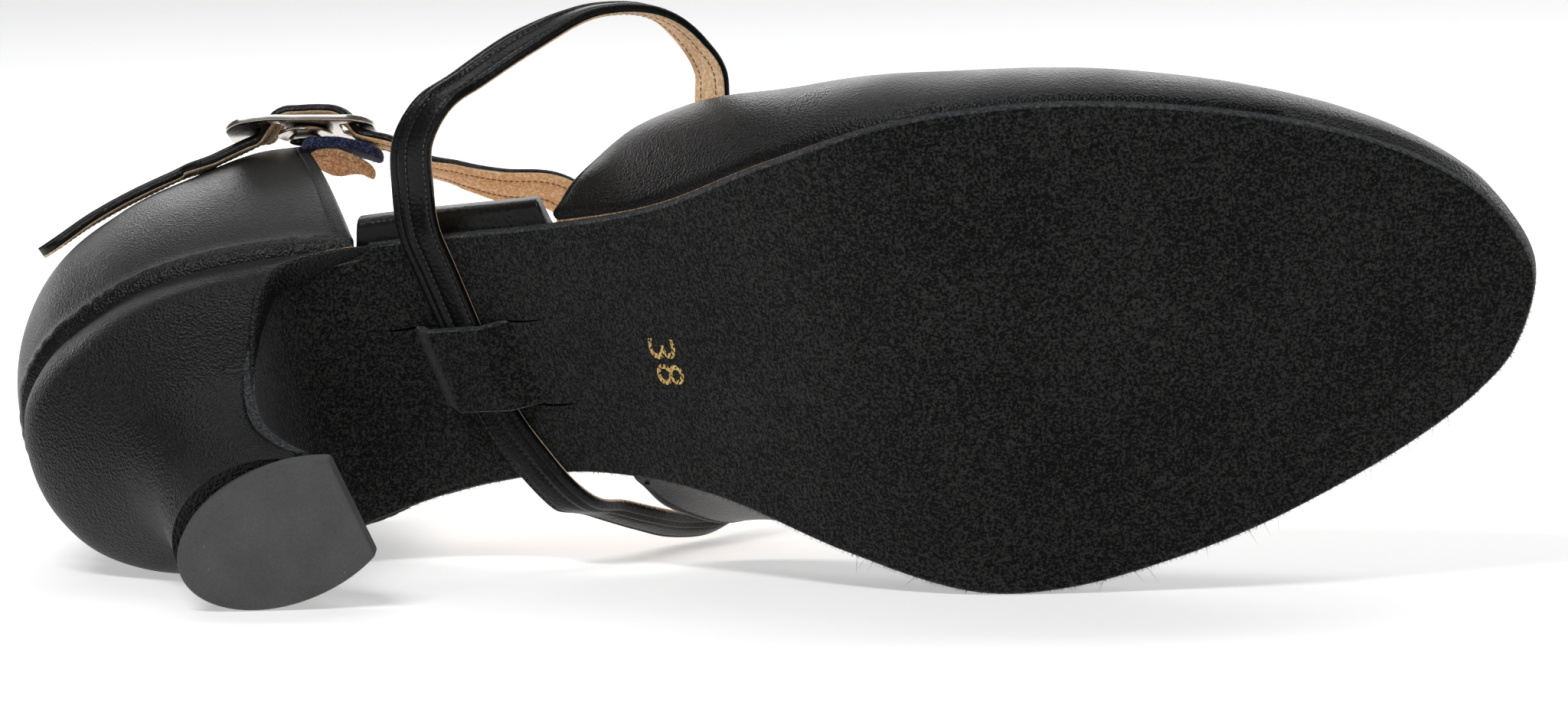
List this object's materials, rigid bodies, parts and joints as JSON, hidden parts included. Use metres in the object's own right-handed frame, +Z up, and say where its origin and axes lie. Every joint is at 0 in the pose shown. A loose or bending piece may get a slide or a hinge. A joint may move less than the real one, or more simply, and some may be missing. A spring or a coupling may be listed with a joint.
{
  "type": "ballroom dance shoe",
  "caption": "Right ballroom dance shoe with a low flared heel, an open waist, a suede sole and a strap that runs through a sole loop to a snap buckle.",
  "frame": {"origin": "middle of the bounding box on the floor that the shoe lies on", "axes": "+X along the shoe from heel to toe, +Z up from the floor, and +Y the way the foot opening faces; the shoe lies on its medial side"},
  "size_m": [0.2564, 0.1206, 0.0937],
  "materials": {
    "suede": "brushed charcoal suede",
    "leather": "black grained leather, semi-gloss",
    "rubber": "matt dark grey",
    "insole": "black leather wrapped over a board",
    "strap_leather": "black leather with a tan suede lining",
    "navy_suede": "navy suede",
    "tan_suede": "tan suede",
    "nickel": "satin nickel"
  },
  "bodies": {
    "root": {"outsole": "suede", "heel_block": "leather", "top_piece": "rubber", "insole": "insole", "vamp": "leather", "counter": "leather", "arch_strap": "strap_leather", "ankle_strap": "strap_leather", "buckle_plate": "nickel", "snap_cap": "nickel", "snap_back": "nickel", "tab": "navy_suede", "tab_lining": "tan_suede"}
  },
  "joints": []
}
